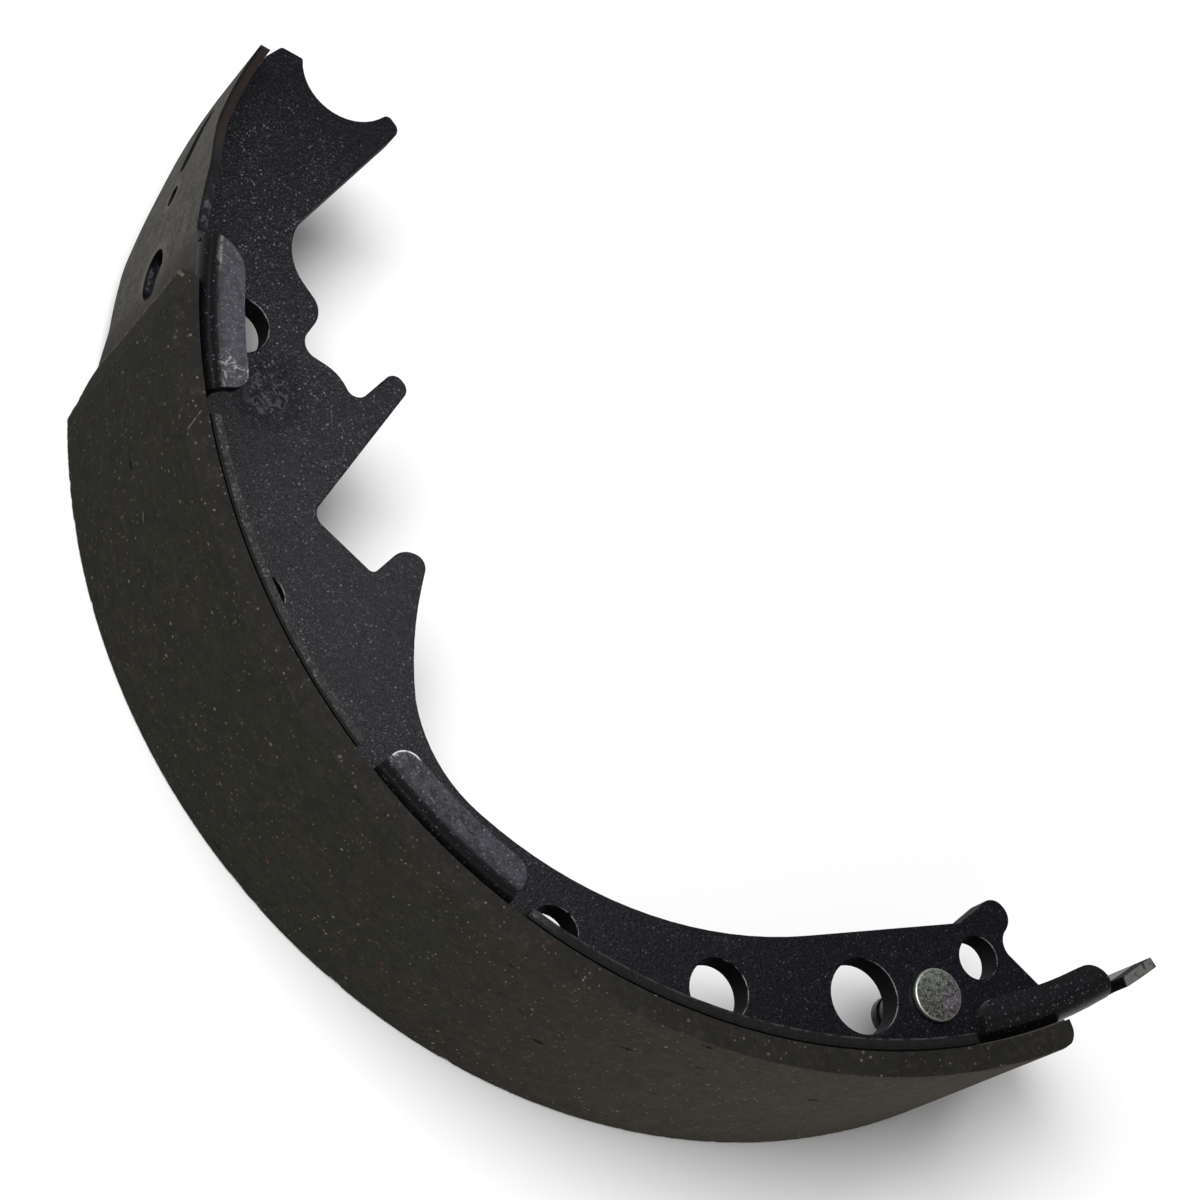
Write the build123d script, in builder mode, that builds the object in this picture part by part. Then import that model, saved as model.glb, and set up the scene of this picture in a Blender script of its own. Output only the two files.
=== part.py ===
from build123d import *
from math import cos, radians, sin
import os

# Bonded drum brake shoe, lying on the side edges of its rim and lining.
# Millimetres and degrees. The origin is on the drum's axis, in the plane the shoe rests on,
# and angles run round that axis from +X, so the middle of the arc is at 270 degrees.

# Drum and lining
drum_radius = 127.0
lining_thickness = 5.0
lining_start = 219.7
lining_full = 224.9
lining_end = 337.2
lining_feather = 0.3
lining_corner = 3.0
lining_clip_near = 10.9
lining_clip_far = 3.0
lining_clip_angle = 3.2

# Rim, the curved table that carries the lining
arc_middle = 270.0
rim_thickness = 2.0
rim_width = 55.0
rim_tip = 192.4
rim_pin_end = 348.7
rim_corner = 0.6
tongue_tip_corner = 3.0
tongue_middle = 205.0
# Side of the tongue: angle, inset from the rim's side, corner radius
tongue_side = [
    (203.4, 13.2, 10.0),
    (210.4, 5.2, 9.0),
    (216.9, 5.1, 3.0),
    (220.4, 0.0, 2.0),
]
tongue_tip_inset = 17.1

# Holes on the rim's centre line
slot_angle = 201.85
slot_length = 15.0
slot_width = 5.3
guide_hole_angle = 208.2
guide_hole_radius = 2.1
locating_hole_angle = 216.3
locating_hole_radius = 4.9

# Tabs bent in from the upper edge of the rim:
# start, end, relief before, relief after, corner radius at the start and at the end, reach.
# The first tab grows straight out of the strip, so its relief starts inside it.
tabs = [
    (218.3, 232.5, -0.5, 2.3, 7.5, 3.0, 8.1),
    (266.6, 281.9, 2.2, 1.6, 3.5, 3.5, 8.0),
    (328.5, 343.3, 1.2, 1.3, 3.5, 5.0, 7.4),
]
tab_bend = 4.0
tab_relief = 5.0
tab_relief_corner = 1.6

# Web, the flat plate that stands on the rim's centre line
web_thickness = 5.3
seat_lip_round = 0.6
finger_lip_round = 1.2
# Free edge from the pin end to the anchor end: inset from the rim, angle, corner radius.
# The first and last points lie outside the rim, which the plate is cut to.
web_edge = [
    (-2.4, 346.6, 0.0),
    (15.8, 343.3, 3.6),
    (17.5, 346.9, 3.3),
    (23.8, 346.1, 3.1),
    (22.1, 340.0, 1.9),
    (15.4, 298.4, 87.0),
    (21.0, 269.7, 30.0),
    (33.1, 258.3, 70.0),
    (45.2, 248.9, 2.6),
    (41.1, 246.5, 4.1),
    (33.4, 248.65, 1.3),
    (25.5, 240.4, 2.7),
    (48.7, 222.5, 2.2),
    (45.6, 219.9, 2.1),
    (37.7, 226.2, 2.3),
    (34.7, 222.3, 9.0),
    (26.2, 220.1, 3.2),
    (30.4, 214.7, 4.6),
    (18.4, 208.8, 11.0),
    (28.0, 186.15, 1.9),
    (14.6, 184.6, 0.0),
    (9.4, 187.4, 0.0),
    (1.0, 188.7, 1.0),
    (-2.3, 194.2, 0.0),
]
anchor_seat_inset = 13.9
anchor_seat_angle = 185.2
anchor_seat_radius = 10.1
# Holes in the web: inset from the rim, angle, radius
web_holes = [
    (11.5, 290.0, 4.75),
    (12.8, 308.2, 6.05),
    (13.4, 325.0, 7.2),
    (14.6, 340.2, 4.2),
    (14.8, 219.4, 5.5),
    (10.6, 247.7, 4.3),
]

# Pin that carries the parking lever
pin_inset = 10.8
pin_angle = 333.3
pin_radius = 3.95
pin_seat_radius = 4.2
pin_head_radius = 5.2
pin_head_height = 1.2
pin_head_round = 0.4
pin_stand_out = 11.8
pin_chamfer = 0.6
pin_groove_width = 1.3
pin_groove_depth = 0.6
pin_groove_from_end = 2.4

rim_outer = drum_radius - lining_thickness
rim_inner = rim_outer - rim_thickness
rim_middle = rim_width / 2
web_bottom = rim_middle - web_thickness / 2
web_top = rim_middle + web_thickness / 2
beyond = 5.0


def at(radius, angle):
    """Point in the drum's plane at a radius and an angle."""
    return (radius * cos(radians(angle)), radius * sin(radians(angle)))


def radial_plane(angle):
    """Plane on the drum's axis facing out along an angle: X round the rim, Y up."""
    out = (*at(1, angle), 0)
    return Plane(origin=(0, 0, rim_middle), x_dir=(*at(1, angle + 90), 0), z_dir=out)


def section_plane(angle):
    """Plane through the drum's axis at an angle: X is the radius, Y the height."""
    return Plane(origin=(0, 0, 0), x_dir=(*at(1, angle), 0), z_dir=(*at(1, angle - 90), 0))


def ring_sector(inner, outer, start, end):
    """Sketch of the area between two radii and two angles."""
    with BuildSketch() as sector:
        with BuildLine():
            far = CenterArc((0, 0), outer, start, end - start)
            near = CenterArc((0, 0), inner, start, end - start)
            Line(near @ 0, far @ 0)
            Line(near @ 1, far @ 1)
        make_face()
    return sector.sketch_local


def tab_plan(start, end, start_corner, end_corner, reach):
    """Sketch of a tab seen from above, rounded at its two free corners."""
    tab_edge = rim_outer - reach
    with BuildSketch() as plan:
        add(ring_sector(tab_edge, rim_outer, start, end))
        fillet(plan.vertices().sort_by_distance(at(tab_edge, start))[0], start_corner)
        fillet(plan.vertices().sort_by_distance(at(tab_edge, end))[0], end_corner)
    return plan.sketch_local


def along(angle, middle):
    """Distance of an angle from the middle one, seen square on to the outside of the rim."""
    return rim_outer * sin(radians(angle - middle))


# Web: one stamped plate with hooked fingers, a pin lug and a half-round anchor seat
web_points = [at(rim_inner - inset, angle) for inset, angle, corner in web_edge]
web_corners = [corner for inset, angle, corner in web_edge[1:-1]]
pin_place = at(rim_inner - pin_inset, pin_angle)
with BuildPart() as web:
    with BuildSketch(Plane.XY.offset(web_bottom)):
        with BuildLine():
            FilletPolyline(*web_points, radius=web_corners)
            ThreePointArc(web_points[-1], at(rim_outer, arc_middle), web_points[0])
        make_face()
        seat = at(rim_inner - anchor_seat_inset, anchor_seat_angle)
        with Locations(seat):
            Circle(anchor_seat_radius, mode=Mode.SUBTRACT)
    extrude(amount=web_thickness)
    finger_lip, seat_lip = web.edges().filter_by(Axis.Z).sort_by_distance(seat)[:2].sort_by_distance((0, 0))
    fillet(finger_lip, finger_lip_round)
    fillet(seat_lip, seat_lip_round)
    for inset, angle, radius in web_holes:
        with Locations(at(rim_inner - inset, angle)):
            Hole(radius)
    with Locations(pin_place):
        Hole(pin_seat_radius)
    with BuildSketch(Plane.XY.offset(web_bottom)):
        Circle(rim_inner)
    extrude(amount=web_thickness, mode=Mode.INTERSECT)
web.part.label = "web"

# Tabs: short flanges turned in over a bend, with rounded corners
with BuildPart() as tab_bends:
    for start, end, *rest, reach in tabs:
        with BuildSketch(section_plane(start)):
            with BuildLine():
                FilletPolyline(
                    (rim_outer, rim_width - tab_relief),
                    (rim_outer, rim_width),
                    (rim_outer - reach, rim_width),
                    (rim_outer - reach, rim_width - rim_thickness),
                    (rim_inner, rim_width - rim_thickness),
                    (rim_inner, rim_width - tab_relief),
                    radius=[0, tab_bend, 0, 0, tab_bend - rim_thickness, 0],
                    close=True,
                )
            make_face()
        revolve(axis=Axis.Z, revolution_arc=end - start)
    with BuildSketch(Plane.XY.offset(rim_width - tab_relief)):
        for start, end, before, after, *plan_sizes in tabs:
            add(tab_plan(start, end, *plan_sizes))
    extrude(amount=tab_relief, mode=Mode.INTERSECT)

# Rim: a curved strip with a tongue at the anchor end and three tabs bent in from one side
with BuildPart() as rim:
    with BuildSketch():
        add(ring_sector(rim_inner, rim_outer, rim_tip, rim_pin_end))
    extrude(amount=rim_width)
    pin_end_face = rim.faces().sort_by(Axis.X)[-1]
    fillet(pin_end_face.edges().sort_by(SortBy.LENGTH)[:2], rim_corner)

    # The tongue is what is left between two mirrored cuts
    with BuildSketch(radial_plane(tongue_middle)):
        side_points = [
            (along(angle, tongue_middle), rim_middle - inset) for angle, inset, corner in tongue_side
        ]
        tip = along(rim_tip, tongue_middle)
        full = side_points[-1][0]
        with Locations((full, 0)):
            Rectangle(rim_outer, rim_width + beyond, align=(Align.MAX, Align.CENTER))
        with BuildLine():
            side = FilletPolyline(
                (tip, 0),
                (tip, rim_middle - tongue_tip_inset),
                *side_points,
                radius=[tongue_tip_corner] + [corner for angle, inset, corner in tongue_side[:-1]],
            )
            mirror(side, about=Plane.XZ)
            Line((full, rim_middle), (full, -rim_middle))
        make_face(mode=Mode.SUBTRACT)
    extrude(amount=rim_outer + beyond, mode=Mode.SUBTRACT)

    with BuildSketch(radial_plane(slot_angle)):
        SlotOverall(slot_length, slot_width)
    extrude(amount=rim_outer + beyond, mode=Mode.SUBTRACT)
    with BuildSketch(radial_plane(guide_hole_angle)):
        Circle(guide_hole_radius)
    extrude(amount=rim_outer + beyond, mode=Mode.SUBTRACT)
    with BuildSketch(radial_plane(locating_hole_angle)):
        Circle(locating_hole_radius)
    extrude(amount=rim_outer + beyond, mode=Mode.SUBTRACT)

    # Reliefs beside and under the tabs, then the tabs themselves
    for start, end, before, after, *rest in tabs:
        middle = (start + end) / 2
        left = along(start - before, middle)
        right = along(end + after, middle)
        with BuildSketch(radial_plane(middle)):
            with BuildLine():
                FilletPolyline(
                    (left, rim_middle + beyond),
                    (left, rim_middle - tab_relief),
                    (right, rim_middle - tab_relief),
                    (right, rim_middle + beyond),
                    radius=[0, tab_relief_corner, tab_relief_corner, 0],
                    close=True,
                )
            make_face()
        extrude(amount=rim_outer + beyond, mode=Mode.SUBTRACT)
    add(tab_bends.part)
rim.part.label = "rim"

# Lining: friction material bonded to the rim, ramped down at its anchor end
with BuildPart() as lining:
    with BuildSketch():
        with BuildLine():
            back = CenterArc((0, 0), rim_outer, lining_start, lining_end - lining_start)
            face = CenterArc((0, 0), drum_radius, lining_full, lining_end - lining_full)
            feather = Line(back @ 0, at(rim_outer + lining_feather, lining_start))
            Line(feather @ 1, face @ 0)
            Line(back @ 1, face @ 1)
        make_face()
    extrude(amount=rim_width)
    fillet(lining.edges().filter_by(Axis.Z).sort_by(Axis.X)[-1], lining_corner)
    # Both corners of the thin end are clipped, the upper one further
    with BuildSketch(radial_plane(lining_start)):
        clip_length = along(lining_start + lining_clip_angle, lining_start)
        for clip, up in ((lining_clip_near, 1), (lining_clip_far, -1)):
            with BuildLine():
                Polyline(
                    (0, up * (rim_middle - clip)),
                    (clip_length * clip / lining_clip_near, up * rim_middle),
                    (clip_length, up * (rim_middle + beyond)),
                    (-beyond, up * (rim_middle + beyond)),
                    (-beyond, up * (rim_middle - clip)),
                    close=True,
                )
            make_face()
    extrude(amount=drum_radius + beyond, mode=Mode.SUBTRACT)
lining.part.label = "lining"

# Lever pin: headed pin pressed into the web, with a clip groove near its free end
pin_x, pin_y = pin_place
pin_end = web_bottom - pin_stand_out
groove_low = pin_end + pin_groove_from_end
groove_high = groove_low + pin_groove_width
with BuildPart() as lever_pin:
    with BuildSketch(Plane.XZ.offset(-pin_y)):
        with BuildLine():
            Polyline(
                (pin_x, pin_end),
                (pin_x + pin_radius - pin_chamfer, pin_end),
                (pin_x + pin_radius, pin_end + pin_chamfer),
                (pin_x + pin_radius, groove_low),
                (pin_x + pin_radius - pin_groove_depth, groove_low),
                (pin_x + pin_radius - pin_groove_depth, groove_high),
                (pin_x + pin_radius, groove_high),
                (pin_x + pin_radius, web_bottom),
                (pin_x + pin_seat_radius, web_bottom),
                (pin_x + pin_seat_radius, web_top),
                (pin_x + pin_head_radius, web_top),
                (pin_x + pin_head_radius, web_top + pin_head_height),
                (pin_x, web_top + pin_head_height),
                close=True,
            )
        make_face()
    revolve(axis=Axis((pin_x, pin_y, 0), (0, 0, 1)))
    fillet(lever_pin.edges().filter_by(GeomType.CIRCLE).sort_by(Axis.Z)[-1], pin_head_round)
lever_pin.part.label = "lever_pin"

os.makedirs("parts", exist_ok=True)
for piece in (web, rim, lining, lever_pin):
    export_step(piece.part, f"parts/{piece.part.label}.step")
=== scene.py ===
from math import radians

import bmesh
import bpy
import numpy as np
from mathutils import Matrix, Vector


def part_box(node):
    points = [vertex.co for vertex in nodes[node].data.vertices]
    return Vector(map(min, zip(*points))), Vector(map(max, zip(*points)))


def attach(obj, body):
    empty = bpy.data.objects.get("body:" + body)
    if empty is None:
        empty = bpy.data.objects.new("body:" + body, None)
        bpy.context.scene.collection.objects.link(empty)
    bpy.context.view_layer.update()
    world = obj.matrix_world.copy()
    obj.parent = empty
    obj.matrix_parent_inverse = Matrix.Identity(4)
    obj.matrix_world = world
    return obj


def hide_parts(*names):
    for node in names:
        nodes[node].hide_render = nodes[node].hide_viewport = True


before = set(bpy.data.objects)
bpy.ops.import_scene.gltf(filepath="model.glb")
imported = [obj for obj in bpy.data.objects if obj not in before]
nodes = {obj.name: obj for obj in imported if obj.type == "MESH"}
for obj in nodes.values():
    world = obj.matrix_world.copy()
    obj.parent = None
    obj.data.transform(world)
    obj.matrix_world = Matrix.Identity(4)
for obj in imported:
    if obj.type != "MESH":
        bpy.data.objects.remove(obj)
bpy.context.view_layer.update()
webLow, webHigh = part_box("web")
pinLow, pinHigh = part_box("lever_pin")
pinMiddle = (pinLow + pinHigh) / 2
mm = 0.001
print("frame loaded")

# The drum's axis is the frame's Z axis, so every radius and angle is measured round it.
# Angles are the CAD's, in degrees. The scale of a pattern is in waves or cells per metre.
rim = {
    "outer": 122.0 * mm,
    "inner": 120.0 * mm,
    "width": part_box("rim")[1].z,
    "arcMiddle": 270.0,
}


def fromMiddle(degrees):  # the shaders' angle is 0 at the middle of the arc
    return radians(degrees - rim["arcMiddle"])


def polarPoint(radius, degrees, height):
    turn = radians(degrees)
    return (radius * np.cos(turn), radius * np.sin(turn), height)


def flat(colour, value=1.0):
    return tuple(part * value for part in colour) + (1.0,)


class Shader:  # a material being built: most calls add a few nodes and give back their output
    def __init__(self, name):
        self.material = bpy.data.materials.new(name)
        self.material.use_nodes = True
        self.tree = self.material.node_tree
        self.tree.nodes.clear()
        self.output = self.tree.nodes.new("ShaderNodeOutputMaterial")
        place = self.tree.nodes.new("ShaderNodeTexCoord")
        self.coords = place.outputs["Object"]
        self.facing = place.outputs["Normal"]

    def plug(self, socket, value):
        # another node's output is linked, a number or a colour is set
        if isinstance(value, bpy.types.NodeSocket):
            self.tree.links.new(value, socket)
        else:
            socket.default_value = value

    def math(self, operation, a, b=0.0, clamp=False):
        node = self.tree.nodes.new("ShaderNodeMath")
        node.operation = operation
        node.use_clamp = clamp
        self.plug(node.inputs[0], a)
        self.plug(node.inputs[1], b)
        return node.outputs[0]

    def times(self, *values):
        result = values[0]
        for value in values[1:]:
            result = self.math("MULTIPLY", result, value)
        return result

    def most(self, *values):
        result = values[0]
        for value in values[1:]:
            result = self.math("MAXIMUM", result, value)
        return result

    def but(self, value):
        # what is left of 1
        return self.math("SUBTRACT", 1.0, value)

    def noise(self, scale, detail=3.0, rough=0.55, vector=None, distortion=0.0):
        node = self.tree.nodes.new("ShaderNodeTexNoise")
        self.plug(node.inputs["Vector"], vector or self.coords)
        node.inputs["Scale"].default_value = scale
        node.inputs["Detail"].default_value = detail
        node.inputs["Roughness"].default_value = rough
        node.inputs["Distortion"].default_value = distortion
        return node.outputs[0]

    def cells(self, scale, vector=None):
        node = self.tree.nodes.new("ShaderNodeTexVoronoi")
        self.plug(node.inputs["Vector"], vector or self.coords)
        node.inputs["Scale"].default_value = scale
        return node.outputs["Distance"], self.parts(node.outputs["Color"])

    def dots(self, scale, rarity, share):
        # one dot in some of the cells, and the brighter ones in fewer of them
        away, pick = self.cells(scale)
        dot = self.fade(away, share * 0.5, share, 1.0, 0.0)
        return self.times(dot, self.math("POWER", pick[0], rarity))

    def fade(self, value, low, high, toLow=0.0, toHigh=1.0):
        node = self.tree.nodes.new("ShaderNodeMapRange")
        node.interpolation_type = "SMOOTHSTEP"
        self.plug(node.inputs["Value"], value)
        for name, number in (("From Min", low), ("From Max", high), ("To Min", toLow), ("To Max", toHigh)):
            node.inputs[name].default_value = number
        return node.outputs["Result"]

    def inside(self, value, low, high, soft):
        # 1 between low and high, fading to 0 over soft on each side
        return self.times(
            self.fade(value, low - soft, low + soft),
            self.fade(value, high - soft, high + soft, 1.0, 0.0),
        )

    def spot(self, point, radius, soft):
        # 1 inside a ball round the point, fading to 0 over twice soft
        node = self.tree.nodes.new("ShaderNodeVectorMath")
        node.operation = "DISTANCE"
        self.plug(node.inputs[0], self.coords)
        node.inputs[1].default_value = point
        return self.fade(node.outputs["Value"], radius - soft, radius + soft, 1.0, 0.0)

    def polar(self):
        # radius and angle round the drum's axis, and height: what the next four work on
        x, y, self.height = self.parts(self.coords)
        self.radius = self.math("SQRT", self.math("ADD", self.times(x, x), self.times(y, y)))
        self.angle = self.math("ARCTAN2", x, self.times(y, -1.0))

    def sweep(self, first, last, toFirst=0.0, toLast=1.0):
        # from one value to the other between two CAD angles
        return self.fade(self.angle, fromMiddle(first), fromMiddle(last), toFirst, toLast)

    def sector(self, first, last, soft=0.6):
        # 1 between two CAD angles, with softness in degrees
        return self.inside(self.angle, fromMiddle(first), fromMiddle(last), radians(soft))

    def nearTop(self, far, near):
        # 1 from the strip's upper edge down to near below it, and 0 past far
        return self.fade(self.height, rim["width"] - far, rim["width"] - near)

    def under(self, surface, far, near, toFar=0.0, toNear=1.0):
        # the same for radii under one of the strip's two surfaces
        return self.fade(self.radius, surface - far, surface - near, toFar, toNear)

    def blend(self, factor, a, b):
        node = self.tree.nodes.new("ShaderNodeMix")
        node.data_type = "RGBA"
        sockets = {socket.identifier: socket for socket in node.inputs}
        self.plug(sockets["Factor_Float"], factor)
        self.plug(sockets["A_Color"], a)
        self.plug(sockets["B_Color"], b)
        return next(socket for socket in node.outputs if socket.identifier == "Result_Color")

    def parts(self, vector):
        node = self.tree.nodes.new("ShaderNodeSeparateXYZ")
        self.plug(node.inputs["Vector"], vector)
        return node.outputs["X"], node.outputs["Y"], node.outputs["Z"]

    def join(self, x, y, z):
        node = self.tree.nodes.new("ShaderNodeCombineXYZ")
        for socket, value in zip(node.inputs, (x, y, z)):
            self.plug(socket, value)
        return node.outputs["Vector"]

    def bump(self, height, strength, distance, normal=None):
        node = self.tree.nodes.new("ShaderNodeBump")
        self.plug(node.inputs["Height"], height)
        node.inputs["Strength"].default_value = strength
        node.inputs["Distance"].default_value = distance
        if normal is not None:
            self.plug(node.inputs["Normal"], normal)
        return node.outputs["Normal"]

    def finish(self, **values):
        node = self.tree.nodes.new("ShaderNodeBsdfPrincipled")
        for name, value in values.items():
            self.plug(node.inputs[name.replace("_", " ")], value)
        self.tree.links.new(node.outputs[0], self.output.inputs["Surface"])
        return self.material


# Web: satin black paint over a blanked plate, with light dust caught in it, and painted highlights and
# shade
webLook = {
    "base": (0.0026, 0.0024, 0.0046),
    "cloudScale": 38.0,
    "grainScale": 2300.0,
    "peelScale": 1150.0,
    "rough": 0.11,
    "grainRough": 0.3,
    "wallRough": 0.8,
    "specular": 0.18,
    "dust": (0.19, 0.195, 0.24),
    "dustScale": 1450.0,
    "fineDustScale": 2700.0,
    "dustPatchScale": 70.0,
    "specksShadedRight": (225.0, 315.0),  # from the middle towards the right end
    "specksShadedAtTip": (190.0, 201.0),  # from the first finger's tip inwards
    "edgeHighlight": (0.2, 0.2, 0.21),
    "edgeHighlightSide": (-0.5, -0.85),  # x and y of the way that the edges with the painted highlight face
    "edgeHighlightDepth": (0.6 * mm, 0.25 * mm),
    "edgeHighlightScale": 420.0,
    "runPlace": (100.0 * mm, 226.5),  # radius and angle
    "runSize": 7.0 * mm,
    "runSoft": 4.0 * mm,
    "wrinkleScale": 520.0,
}


def makeWebPaint():
    s = Shader("webPaint")
    s.polar()
    facingX, facingY, upward = s.parts(s.facing)
    grain = s.noise(webLook["grainScale"], 3.0, 0.7)
    pits = s.fade(grain, 0.3, 0.45, 1.0, 0.0)
    cloud = s.noise(webLook["cloudScale"], 5.0, 0.62)
    colour = s.blend(cloud, flat(webLook["base"], 0.7), flat(webLook["base"], 1.3))
    colour = s.blend(s.times(pits, 0.7), colour, flat(webLook["base"], 0.2))

    # the dust specks thin out towards the right end and at the first finger's tip as painted shade, and
    # gather in patches
    specks = s.math(
        "ADD",
        s.times(s.dots(webLook["dustScale"], 5.0, 0.38), 0.9),
        s.times(s.dots(webLook["fineDustScale"], 3.2, 0.52), 0.42),
        clamp=True,
    )
    dust = s.times(
        specks,
        s.sweep(*webLook["specksShadedRight"], 0.9, 0.3),
        s.sweep(*webLook["specksShadedAtTip"], 0.3, 1.0),
        s.fade(s.noise(webLook["dustPatchScale"], 3.0, 0.6), 0.3, 0.7, 0.5, 1.0),
    )
    colour = s.blend(dust, colour, flat(webLook["dust"]))

    # beside the first tab's end the paint has run and wrinkled
    run = s.spot(polarPoint(*webLook["runPlace"], webHigh.z), webLook["runSize"], webLook["runSoft"])
    wrinkle = s.times(run, s.noise(webLook["wrinkleScale"], 5.0, 0.75, distortion=1.5))
    colour = s.blend(s.times(s.fade(wrinkle, 0.48, 0.6), 0.6), colour, flat(webLook["dust"], 0.4))

    # the walls of the holes and the plate's outline are darker with painted shade, and duller
    wall = s.fade(upward, 0.3, 0.7, 1.0, 0.0)
    colour = s.blend(s.times(wall, 0.8), colour, flat(webLook["base"], 0.3))

    # painted highlight: the holes' edges are drawn bright on the side away from the arc
    sideX, sideY = webLook["edgeHighlightSide"]
    deep, shallow = webLook["edgeHighlightDepth"]
    edgeHighlight = s.times(
        s.fade(s.math("ADD", s.times(facingX, sideX), s.times(facingY, sideY)), 0.2, 0.4),
        s.fade(upward, 0.3, 0.55),
        s.fade(upward, 0.9, 0.97, 1.0, 0.0),
        s.fade(s.height, webHigh.z - deep, webHigh.z - shallow),
        s.fade(s.noise(webLook["edgeHighlightScale"], 4.0, 0.7), 0.4, 0.55),
    )
    colour = s.blend(s.times(edgeHighlight, 0.8), colour, flat(webLook["edgeHighlight"]))

    rough = s.math("ADD", s.times(grain, webLook["grainRough"]), webLook["rough"])
    rough = s.most(rough, s.times(wall, webLook["wallRough"]))
    bump = s.bump(s.noise(webLook["peelScale"], 2.0, 0.5), 0.5, 0.05 * mm)
    bump = s.bump(grain, 0.7, 0.05 * mm, bump)
    bump = s.bump(wrinkle, 0.8, 0.16 * mm, bump)
    bump = s.bump(dust, 0.4, 0.04 * mm, bump)
    return s.finish(Base_Color=colour, Roughness=rough, Normal=bump, Specular_IOR_Level=webLook["specular"])


webPaint = makeWebPaint()
print("web paint ready")

# Rim: bare rolled steel outside, black paint inside, worn on the tabs and rough on the cut edge, with a
# painted highlight and painted shade
rimLook = {
    "paint": (0.0018, 0.0018, 0.0024),
    "cloudScale": 60.0,
    "grainScale": 2300.0,
    "mottleScale": 620.0,
    "chipScale": 520.0,
    "speckScale": 1700.0,
    "specular": 0.2,
    "bare": (0.072, 0.0675, 0.0585),
    "bareDark": (0.0235, 0.0215, 0.018),
    "rust": (0.022, 0.0145, 0.0115),
    "rollingScale": (90.0, 1300.0),  # along the strip and across it
    "blotScale": 300.0,
    "rings": ((208.2, 3.4 * mm, 1.0 * mm), (216.3, 6.4 * mm, 1.2 * mm)),  # angle, radius and softness
    "rustyTip": (195.0, 202.0),
    "nearLining": (216.0, 219.0),
    "outsideDepth": (0.12 * mm, 0.04 * mm),
    "paintedRoot": (217.0, 217.5),
    "paintedRootDepth": (1.1 * mm, 0.8 * mm),
    "tab": (0.029, 0.0293, 0.036),
    "tabLight": (0.115, 0.118, 0.135),
    "wornAndHighlight": (0.3, 0.3, 0.3),
    "tabWearFades": (285.0, 320.0),
    "tabInboard": (2.6 * mm, 0.4 * mm),
    "tabTopDepth": (1.5 * mm, 0.2 * mm),
    "tabBendInboard": (-2.2 * mm, 0.3 * mm),
    "tabBendDepth": (6.0 * mm, 5.0 * mm),
    "firstTabLighter": (235.0, 250.0),
    "wornEdges": ((217.5, 221.5), (231.6, 233.5)),
    "wornEdgeDepth": (0.6 * mm, 0.3 * mm),
    "tabInnerEdge": (4.0 * mm, 3.0 * mm),
    "scuffs": ((229.2, 232.0), (266.4, 267.4)),
    "scuffScale": 380.0,
    "highlightCorner": (117.5 * mm, 268.31),  # middle of the second tab's first round
    "highlightRadius": 3.5 * mm,
    "paintedHighlightLine": 0.26 * mm,
    "highlightSector": (266.0, 268.4),
    "highlightInboard": (2.7 * mm, 2.2 * mm),
    "highlightScale": 1100.0,
    "stripInboard": (0.5 * mm, 0.2 * mm),
    "stripDepth": (0.35 * mm, 0.1 * mm),
    "strip": (0.019, 0.0185, 0.0185),
    "stripLight": (0.14, 0.138, 0.14),
    "stripBrown": (0.0135, 0.009, 0.0078),
    "stripEnd": (0.1, 0.1, 0.095),
    "lightStrip": (233.5, 262.0),
    "notchStrip": (282.0, 286.0),
    "paintedStrip": (284.0, 287.0),
    "thinLine": (0.0, 0.3 * mm),
    "shadeBesideLining": (0.75 * mm, 0.45 * mm),
    "bareStrip": (343.8, 344.3),
    "tongueEnd": (216.4, 217.4),
    "blackTongue": (207.5, 217.0),
    "wrinkledTongue": (212.5, 216.6),
}


def bareSteel(s, grain, mottle):
    # rolling marks drawn out along the strip, with blots and light grains
    alongScale, acrossScale = rimLook["rollingScale"]
    arc = s.times(s.angle, rim["outer"])
    rolled = s.join(s.times(arc, alongScale), s.times(s.height, acrossScale), 0.0)
    lines = s.noise(1.0, 4.0, 0.65, vector=rolled)
    blots = s.noise(rimLook["blotScale"], 6.0, 0.75)
    bare = s.blend(s.fade(lines, 0.3, 0.72, 0.25, 0.85), flat(rimLook["bareDark"]), flat(rimLook["bare"]))
    bare = s.blend(s.times(s.fade(blots, 0.46, 0.6), 0.6), bare, flat(rimLook["bareDark"], 0.8))
    bare = s.blend(s.times(s.fade(mottle, 0.36, 0.5, 1.0, 0.0), 0.7), bare, flat(rimLook["bareDark"], 0.5))
    bare = s.blend(s.times(s.fade(grain, 0.52, 0.64), 0.7), bare, flat(rimLook["bare"], 1.6))
    # lighter rings round the two holes
    rings = [
        s.spot(polarPoint(rim["outer"], degrees, rim["width"] / 2), size, soft)
        for degrees, size, soft in rimLook["rings"]
    ]
    bare = s.blend(s.times(s.most(*rings), 0.45), bare, flat(rimLook["bare"], 1.5))
    # rust at the tip, and beyond the holes darker and browner towards the lining
    tip = s.sweep(*rimLook["rustyTip"], 1.0, 0.0)
    bare = s.blend(s.times(tip, 0.6), bare, flat(rimLook["rust"]))
    return s.blend(s.times(s.sweep(*rimLook["nearLining"]), 0.7), bare, flat(rimLook["bareDark"], 0.7))


def tabFace(s, grain, mottle):
    # mottled, with dark pits, light grains and bright specks, and lighter on the first tab
    tab = s.blend(s.fade(mottle, 0.38, 0.6), flat(rimLook["tab"], 0.6), flat(rimLook["tab"], 1.4))
    tab = s.blend(s.times(s.fade(grain, 0.32, 0.46, 1.0, 0.0), 0.75), tab, flat(rimLook["tab"], 0.2))
    tab = s.blend(s.times(s.fade(grain, 0.56, 0.72), 0.8), tab, flat(rimLook["tabLight"]))
    tab = s.blend(s.times(s.dots(rimLook["speckScale"], 3.0, 0.42), 0.6), tab, flat(rimLook["wornAndHighlight"], 0.6))
    return s.blend(s.sweep(*rimLook["firstTabLighter"], 0.14, 0.0), tab, flat(rimLook["tabLight"]))


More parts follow.
